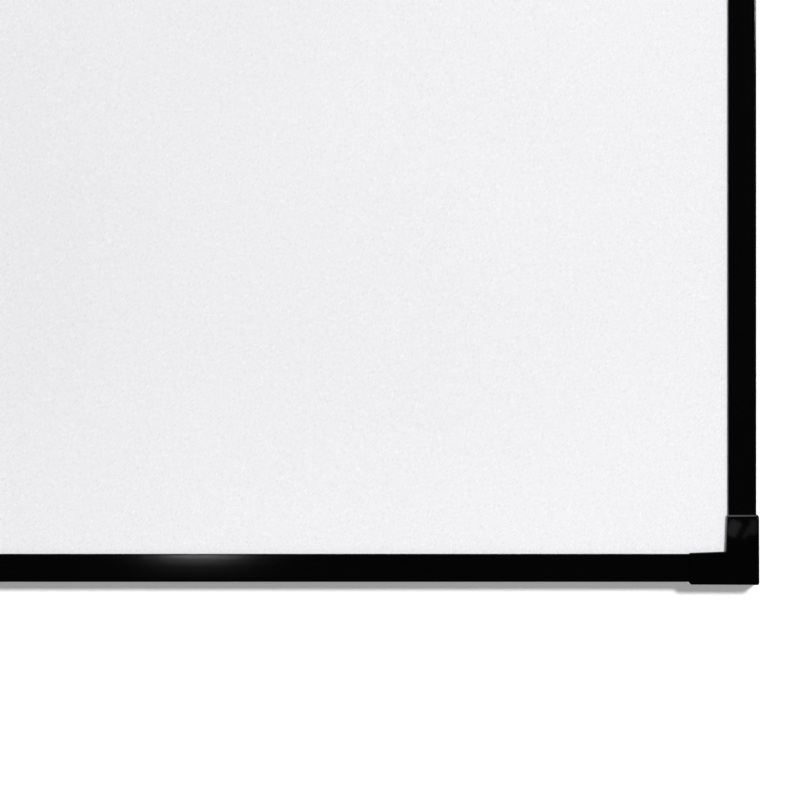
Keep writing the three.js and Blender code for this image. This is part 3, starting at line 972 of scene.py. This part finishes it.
def clip_outline(sizes, rails, rod_inset, rod_depth, rod_radius):
    """Outline of a clip: from the anchor ledge's lip round the inner side of the rod."""
    half_lip = rails.ledge_wall / 2
    anchor = Vector((rails.anchor_inset, rails.anchor_tip - half_lip))
    rod = Vector((rod_inset, rod_depth))
    half = sizes.clip_thickness / 2
    anchor_bend, rod_bend = half_lip + SEAT + half, rod_radius + SEAT + half
    between = rod - anchor
    tangent = math.atan2(between.y, between.x) + math.acos((anchor_bend - rod_bend) / between.length)
    tip = Vector((anchor.x - anchor_bend, rails.anchor_depth + rails.ledge_wall + sizes.clip_tip_gap))
    line = [tip]
    line += arc(anchor, anchor_bend, math.pi, tangent)
    line += arc(rod, rod_bend, tangent, -sizes.clip_wrap)
    return strip(line, sizes.clip_thickness)


def screw_blank(sizes):
    """A pan head screw with a cross recess, its head facing back from depth 0."""
    low, high = local_box("corner_screw_bottom_left_1", corner_place("bottom_left"))
    head_radius, head, shank = (high.x - low.x) / 2, sizes.screw_head, sizes.screw_radius
    tip, point, taper = -(high.y - low.y - head), shank * 0.8, 0.3 * MM
    rim, dome, flat = 0.35 * head, 0.65 * head, 0.1 * head_radius
    angles = [math.radians(angle) for angle in range(0, 80, 10)]
    crown = [(head_radius * math.cos(a), rim + dome * math.sin(a)) for a in angles]
    profile = [(point, tip), (shank, tip + taper), (shank, 0), (head_radius, 0), *crown, (flat, head)]
    piece = turned("corner_screw", profile)
    arm, half_slot, above = 0.55 * head_radius, 0.42 * MM, head * 2
    carve(piece, [
        block("recess", (-arm, rim, -half_slot), (arm, above, half_slot)),
        block("recess", (-half_slot, rim, -arm), (half_slot, above, arm)),
    ])
    return shade(piece)


def hanger_blank(sizes, rails):
    """A bent wall hanger with two slots, in its side's own frame and centred."""
    low, high = local_box("wall_hanger_top_left", side_place("top"))
    thickness = sizes.hanger_thickness
    half, hook, end = (high.x - low.x) / 2, -high.z, -low.z
    hook_depth = low.y + thickness / 2
    plate_depth = high.y - thickness / 2
    bend = SEAT + thickness / 2
    saddle = rails.flange_reach + bend
    line = [Vector((hook, hook_depth))]
    line += arc((saddle - bend, hook_depth + bend), bend, -math.pi / 2, 0)
    line += arc((saddle + bend, plate_depth - bend), bend, math.pi, math.pi / 2)
    line += [Vector((end, plate_depth))]
    piece = drawn_out("wall_hanger", strip(line, thickness), 2 * half + 2 * PAST)
    corner = sizes.hanger_round
    outline = rounded_box(-half, -end, half, -hook, corner, corner / 2)
    carve(piece, [plate("rounds", outline, low.y - PAST, high.y + PAST)], "INTERSECT")
    carve(piece, [slot_tool(sizes, way * sizes.slot_spacing / 2, high.y) for way in (-1, 1)])
    soften(piece, HANGER_EDGE)
    return shade(piece)


def slot_tool(sizes, x, back):
    """A cutter for one screw slot."""
    radius = sizes.slot_width / 2
    half = sizes.slot_length / 2
    low, high = -sizes.slot_inset - radius, -sizes.slot_inset + radius
    # Just under half the slot, so that the two rounds of an end don't meet in one point.
    end_round = radius * 0.999
    through = 5 * MM
    outline = rounded_box(x - half, low, x + half, high, end_round)
    return plate("slot", outline, back - through, back + PAST)


# Operators.


class PROJECTOR_OT_studio(Operator):
    """Sets the camera, the lights, the wall and the floor."""

    bl_idname = "projector_screen.build_studio"
    bl_label = "Build Studio"

    def execute(self, context):
        settings = context.scene.screen_studio
        context.scene.view_settings.view_transform = "Standard"
        place_camera(context, settings)
        place_lights(settings)
        light_world(context, settings)
        build_wall()
        build_floor()
        return {"FINISHED"}


def pixel_size(settings):
    """Width of one pixel of the view at the rails' face."""
    return settings.view_width / VIEW_PIXELS


def pixel_offset(settings, column, row):
    """Where a pixel of the view lies on the rails' face, from the middle of the view."""
    pixel, middle = pixel_size(settings), VIEW_PIXELS / 2
    return Vector(((column - middle) * pixel, 0, (middle - row) * pixel))


def camera_place(settings):
    """Where the camera stands, so that the cap's corner falls on its pixel."""
    low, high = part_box("corner_cap_bottom_right")
    corner = Vector((high.x, FRONT - settings.camera_distance, low.z))
    return corner - pixel_offset(settings, settings.corner_right, settings.corner_down)


def mirrored_place(settings, column, row, before, lean=0):
    """Where a lamp shows in the gloss at a pixel, if it stands the given distance before the face.

    The lean is how far the face turns up there, in radians."""
    offset = pixel_offset(settings, column, row)
    at = camera_place(settings) + offset * (1 + before / settings.camera_distance)
    at.y = FRONT - before
    return at + Vector((0, 0, 2 * lean * before))


def place_camera(context, settings):
    """A long lens square to the wall."""
    data = bpy.data.cameras.new("camera")
    data.sensor_width = SENSOR
    data.lens = data.sensor_width * settings.camera_distance / settings.view_width
    data.clip_start, data.clip_end = CLIP
    camera = placed("camera", data)
    camera.location = camera_place(settings)
    camera.rotation_euler = (math.pi / 2, 0, 0)
    context.scene.camera = camera


def lamp(name, place, target, power, size, spread=180, shape="DISK"):
    """An area lamp that faces a target, with its size in metres and its cone in degrees.

    The camera doesn't see it."""
    data = bpy.data.lights.new(name, "AREA")
    data.shape = shape
    data.size, data.size_y = size
    data.spread = math.radians(spread)
    data.energy = power
    made = placed(name, data)
    made.location = place
    made.rotation_mode = "QUATERNION"
    made.rotation_quaternion = (Vector(target) - Vector(place)).to_track_quat("-Z", "Y")
    made.visible_camera = False
    return made


def place_lights(settings):
    """Key light, soft fills, the glints on the gloss black, and a lamp for the back."""
    corner = Vector((HALF_WIDTH, WALL_PLANE, -HALF_HEIGHT))
    key_at = Vector((settings.key_aside, -1, settings.key_above)) * settings.key_distance
    key_size = (settings.key_size, settings.key_size)
    key_spread = math.degrees(settings.key_spread)
    lamp("key_light", corner + key_at, corner + Vector(settings.key_target), settings.key_power,
         key_size, key_spread)
    lamp("ceiling_strip", corner + Vector(STRIP_AT), corner, STRIP_POWER,
         STRIP_SIZE, STRIP_CONE, "RECTANGLE")
    for name, place, target, power, cone in FILLS:
        fill = lamp(name, corner + Vector(place), corner + Vector(target), power, FILL_SIZE, cone)
        fill.visible_glossy = False
    lamp("rear_light", REAR_AT, (0, 0, 0), REAR_POWER, REAR_SIZE)
    place_glints(settings)


def place_glints(settings):
    """Small lamps that show in the gloss black: one on the bottom rail, three on the cap."""
    forward = Vector((0, 1, 0))
    at = mirrored_place(settings, *GLINT_PIXEL, settings.camera_distance, lean=GLINT_LEAN)
    lamp("rail_glint", at, at + forward, GLINT_POWER, GLINT_SIZE, shape="ELLIPSE")
    pixel = pixel_size(settings)
    for name, column, row, width, height, turn, level in CARDS:
        at = mirrored_place(settings, column, row, CARD_BEFORE)
        size = (width * pixel, height * pixel)
        power = level * math.pi * size[0] * size[1]
        card = lamp(name, at, at + forward, power, size, shape="RECTANGLE")
        card.rotation_quaternion @= Quaternion((0, 0, 1), math.radians(turn))


def light_world(context, settings):
    """Even light by direction: dim in front, for the gloss black, and white for the camera."""
    world = bpy.data.worlds.new("studio")
    context.scene.world = world
    world.use_nodes = True
    tree = world.node_tree
    tree.nodes.clear()
    direction = tree.nodes.new("ShaderNodeTexCoord").outputs["Generated"]
    parts = tree.nodes.new("ShaderNodeSeparateXYZ")
    tree.links.new(direction, parts.inputs[0])
    ways = tree.nodes.new("ShaderNodeLightPath").outputs
    even = spread(tree, parts.outputs["Y"], settings.front_fill, settings.rear_fill, *FILL_TURN)
    mirrored = spread(tree, parts.outputs["Y"], *MIRRORED, *MIRRORED_TURN)
    not_glossy = math_node(tree, "SUBTRACT", 1.0, ways["Is Glossy Ray"])
    strength = math_node(
        tree, "ADD",
        math_node(tree, "MULTIPLY", even, not_glossy),
        math_node(tree, "MULTIPLY", mirrored, ways["Is Glossy Ray"]),
    )
    strength = math_node(tree, "MAXIMUM", strength, ways["Is Camera Ray"])
    background = node(tree, "ShaderNodeBackground", {"Color": (1, 1, 1, 1), "Strength": strength})
    output = tree.nodes.new("ShaderNodeOutputWorld")
    tree.links.new(background, output.inputs["Surface"])


def backdrop_material(name, colour, lift, clear, faded):
    """A pale surface for the camera alone that fades into the white beyond."""
    material, tree, shader = blank(name)
    shader.inputs["Base Color"].default_value = (*colour, 1)
    shader.inputs["Roughness"].default_value = 1
    shader.inputs["Specular IOR Level"].default_value = 0
    shader.inputs["Emission Color"].default_value = (1, 1, 1, 1)
    shader.inputs["Emission Strength"].default_value = lift
    place = tree.nodes.new("ShaderNodeTexCoord").outputs["Object"]
    reach = tree.nodes.new("ShaderNodeVectorMath")
    reach.operation = "LENGTH"
    tree.links.new(place, reach.inputs[0])
    near = spread(tree, reach.outputs["Value"], 1, 0, clear, faded)
    camera = tree.nodes.new("ShaderNodeLightPath").outputs["Is Camera Ray"]
    behind = tree.nodes.new("ShaderNodeNewGeometry").outputs["Backfacing"]
    before = math_node(tree, "SUBTRACT", 1.0, behind)
    shown = math_node(tree, "MULTIPLY", math_node(tree, "MULTIPLY", near, camera), before)
    clear_shader = tree.nodes.new("ShaderNodeBsdfTransparent")
    mixed = node(tree, "ShaderNodeMixShader",
                 {0: shown, 1: clear_shader.outputs[0], 2: shader.outputs[0]})
    tree.links.new(mixed, tree.nodes["Material Output"].inputs["Surface"])
    return material


def build_wall():
    """The white wall behind the screen, seen from the front only."""
    half, depth = WALL_HALF, WALL_PLANE + WALL_GAP
    piece = plain_sheet("wall", [(-half, depth, -half), (half, depth, -half),
                                 (half, depth, half), (-half, depth, half)])
    piece.data.materials.append(backdrop_material("wall_paint", *WALL_PAINT))


def build_floor():
    """A pale floor well below the screen."""
    half, height = FLOOR_HALF, FLOOR_HEIGHT
    piece = plain_sheet("floor", [(-half, -half, height), (half, -half, height),
                                  (half, half, height), (-half, half, height)])
    piece.data.materials.append(backdrop_material("pale_floor", *FLOOR_PAINT))


def plain_sheet(name, corners):
    """One flat face."""
    mesh = bpy.data.meshes.new(name)
    mesh.from_pydata(corners, [], [(0, 1, 2, 3)])
    return placed(name, mesh)


class PROJECTOR_OT_rails(Operator):
    """Draws out the four mitred rails."""

    bl_idname = "projector_screen.build_rails"
    bl_label = "Build Rails"

    def execute(self, context):
        sizes = context.scene.screen_rails
        section = rail_section(sizes)
        material = gloss_black_coat(context.scene.screen_finishes)
        for side, (_, length, _) in SIDES.items():
            piece = drawn_out(f"{side}_extrusion", section, length, mitred=True)
            finish(shade(piece), material, f"{side}_rail", side_place(side))
        return {"FINISHED"}


class PROJECTOR_OT_caps(Operator):
    """Moulds the four corner caps."""

    bl_idname = "projector_screen.build_caps"
    bl_label = "Build Corner Caps"

    def execute(self, context):
        material = gloss_black_plastic(context.scene.screen_finishes)
        first = cap_shell(context.scene.screen_caps)
        for corner in CORNERS:
            piece = placed(f"{corner}_cap_shell", first.data)
            finish(piece, material, f"corner_cap_{corner}", corner_place(corner))
        bpy.data.objects.remove(first)
        return {"FINISHED"}


class PROJECTOR_OT_cloth(Operator):
    """Stretches the cloth between the rods."""

    bl_idname = "projector_screen.build_cloth"
    bl_label = "Build Screen Cloth"

    def execute(self, context):
        sizes = context.scene.screen_cloth
        colours = context.scene.screen_finishes
        mesh, flat = cloth_mesh(sizes, context.scene.screen_rails.lip_depth)
        backing = cloth_backing(colours)
        for material in (projection_face(colours), backing, welded_hem(colours), backing):
            mesh.materials.append(material)
        piece = placed("screen_cloth", mesh)
        modifier = piece.modifiers.new("thickness", "SOLIDIFY")
        modifier.thickness = sizes.thickness
        modifier.offset = -1
        modifier.material_offset = 1
        modifier.use_even_offset = True
        settle(piece)
        shade(piece)
        finish(piece, None, "screen_fabric")
        return {"FINISHED"}


class PROJECTOR_OT_rods(Operator):
    """Makes the four tension rods."""

    bl_idname = "projector_screen.build_rods"
    bl_label = "Build Tension Rods"

    def execute(self, context):
        material = drawn_fibre(context.scene.screen_finishes)
        for side in SIDES:
            place = side_place(side)
            low, high = local_box(f"tension_rod_{side}", place)
            middle, half = (low + high) / 2, (high.x - low.x) / 2
            radius, chamfer = (high.z - low.z) / 2, ROD_CHAMFER
            profile = [
                (radius - chamfer, -half), (radius, chamfer - half),
                (radius, half - chamfer), (radius - chamfer, half),
            ]
            piece = shade(turned(f"rod_{side}", profile, steps=24))
            turn = Matrix.Rotation(-math.pi / 2, 4, "Z")
            finish(piece, material, f"tension_rod_{side}",
                   place @ Matrix.Translation(middle) @ turn)
        return {"FINISHED"}


class PROJECTOR_OT_clips(Operator):
    """Bends the spring clips that pull the rods outwards."""

    bl_idname = "projector_screen.build_clips"
    bl_label = "Build Spring Clips"

    def execute(self, context):
        material = zinc_plate(context.scene.screen_finishes)
        low, high = local_box("tension_rod_top", side_place("top"))
        middle, radius = (low + high) / 2, (high.z - low.z) / 2
        outline = clip_outline(
            context.scene.screen_hardware, context.scene.screen_rails, -middle.z, middle.y, radius,
        )
        clip_low, clip_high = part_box("tension_clip_top_1")
        first = drawn_out("spring_clip", outline, clip_high.x - clip_low.x)
        shade(soften(first, CLIP_EDGE))
        for side in SIDES:
            for i, x in enumerate(clip_centres(side)):
                piece = placed(f"spring_clip_{side}_{i + 1}", first.data)
                place = side_place(side) @ Matrix.Translation((x, 0, 0))
                finish(piece, material, f"tension_clip_{side}_{i + 1}", place)
        bpy.data.objects.remove(first)
        return {"FINISHED"}


class PROJECTOR_OT_corner_fixings(Operator):
    """Plates the corner keys and drives the screws that hold them."""

    bl_idname = "projector_screen.build_corner_fixings"
    bl_label = "Build Corner Keys and Screws"

    def execute(self, context):
        sizes = context.scene.screen_hardware
        material = zinc_plate(context.scene.screen_finishes)
        driven = random.Random(sizes.seed)
        first = screw_blank(sizes)
        for corner in CORNERS:
            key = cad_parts[f"corner_key_{corner}"]
            key.material_slots[0].material = material
            for i in (1, 2):
                screw_node = f"corner_screw_{corner}_{i}"
                low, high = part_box(screw_node)
                seat = Vector(((low.x + high.x) / 2, high.y - sizes.screw_head, (low.z + high.z) / 2))
                turn = Matrix.Rotation(driven.uniform(0, math.pi / 2), 4, "Y")
                piece = placed(f"pan_head_{corner}_{i}", first.data)
                finish(piece, material, screw_node, Matrix.Translation(seat) @ turn)
        bpy.data.objects.remove(first)
        return {"FINISHED"}


class PROJECTOR_OT_support(Operator):
    """Makes the upright bar behind the cloth and its two feet."""

    bl_idname = "projector_screen.build_support"
    bl_label = "Build Support Bar and Feet"

    def execute(self, context):
        sizes = context.scene.screen_hardware
        colours = context.scene.screen_finishes
        build_bar(sizes, mill_aluminium(colours))
        for side in ("top", "bottom"):
            build_foot(side, sizes, matt_moulding(colours))
        return {"FINISHED"}


def upright(name, low, high, radius):
    """A round-edged upright prism between two corners."""
    outline = rounded_box(low.x, low.y, high.x, high.y, radius)
    return lofted(name, [[(x, y, z) for x, y in outline] for z in (low.z, high.z)])


def build_bar(sizes, material):
    """The upright tube."""
    low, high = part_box("support_bar")
    piece = upright("support_tube", low, high, sizes.bar_round)
    wall = Vector((sizes.bar_wall, sizes.bar_wall, -PAST))
    carve(piece, [upright("bore", low + wall, high - wall, sizes.bar_round / 2)])
    finish(shade(piece), material, "support_bar")


def build_foot(side, sizes, material):
    """A shoe that seats in the rail, with a plug that fills the tube's end."""
    place = side_place(side)
    low, high = local_box(f"support_foot_{side}", place)
    bar_low, bar_high = local_box("support_bar", place)
    neck = high.z - sizes.foot_length
    corner = sizes.foot_round
    outline = rounded_box(low.x, neck, high.x, high.z, corner)
    shoe = soften(plate(f"support_shoe_{side}", outline, low.y, high.y), SHOE_EDGE, segments=3)
    room = Vector((sizes.bar_wall + SEAT, sizes.bar_wall + SEAT, 0))
    plug_low = Vector((bar_low.x, bar_low.y, low.z)) + room
    plug_high = Vector((bar_high.x, bar_high.y, neck + corner)) - room
    plug = soften(block("plug", plug_low, plug_high), PLUG_EDGE)
    carve(shoe, [plug], "UNION")
    finish(shade(shoe), material, f"support_foot_{side}", place)


class PROJECTOR_OT_hangers(Operator):
    """Bends the wall hangers that take the rails' rear flanges."""

    bl_idname = "projector_screen.build_hangers"
    bl_label = "Build Wall Hangers"

    def execute(self, context):
        material = powder_coat(context.scene.screen_finishes)
        first = hanger_blank(context.scene.screen_hardware, context.scene.screen_rails)
        for side in ("top", "bottom"):
            place = side_place(side)
            for hand in ("left", "right"):
                hanger = f"wall_hanger_{side}_{hand}"
                low, high = local_box(hanger, place)
                piece = placed(f"hanger_strip_{side}_{hand}", first.data)
                at = place @ Matrix.Translation(((low.x + high.x) / 2, 0, 0))
                finish(piece, material, hanger, at)
        bpy.data.objects.remove(first)
        return {"FINISHED"}


class PROJECTOR_PT_pieces(Panel):
    """Lists the pieces in the order in which they are built."""

    bl_label = "Fixed Frame Projector Screen"
    bl_idname = "PROJECTOR_PT_pieces"
    bl_space_type = "VIEW_3D"
    bl_region_type = "UI"
    bl_category = "Projector Screen"

    def draw(self, context):
        column = self.layout.column(align=True)
        for operator in OPERATORS:
            column.operator(operator.bl_idname)


OPERATORS = (
    PROJECTOR_OT_studio,
    PROJECTOR_OT_rails,
    PROJECTOR_OT_caps,
    PROJECTOR_OT_rods,
    PROJECTOR_OT_cloth,
    PROJECTOR_OT_clips,
    PROJECTOR_OT_corner_fixings,
    PROJECTOR_OT_support,
    PROJECTOR_OT_hangers,
)

GROUPS = {
    "screen_rails": RailSizes,
    "screen_caps": CapSizes,
    "screen_cloth": ClothSizes,
    "screen_hardware": HardwareSizes,
    "screen_finishes": FinishColours,
    "screen_studio": StudioSettings,
}


def register():
    """Registers the settings, the operators and the panel."""
    for made in (*GROUPS.values(), *OPERATORS, PROJECTOR_PT_pieces):
        bpy.utils.register_class(made)
    for name, group in GROUPS.items():
        setattr(bpy.types.Scene, name, PointerProperty(type=group))


def unregister():
    """Takes them all away again."""
    for name in GROUPS:
        delattr(bpy.types.Scene, name)
    for made in (PROJECTOR_PT_pieces, *reversed(OPERATORS), *GROUPS.values()):
        bpy.utils.unregister_class(made)


def main():
    register()
    bpy.ops.projector_screen.build_studio()
    bpy.ops.projector_screen.build_rails()
    bpy.ops.projector_screen.build_caps()
    bpy.ops.projector_screen.build_rods()
    bpy.ops.projector_screen.build_cloth()
    bpy.ops.projector_screen.build_clips()
    bpy.ops.projector_screen.build_corner_fixings()
    bpy.ops.projector_screen.build_support()
    bpy.ops.projector_screen.build_hangers()


if __name__ == "__main__":
    main()
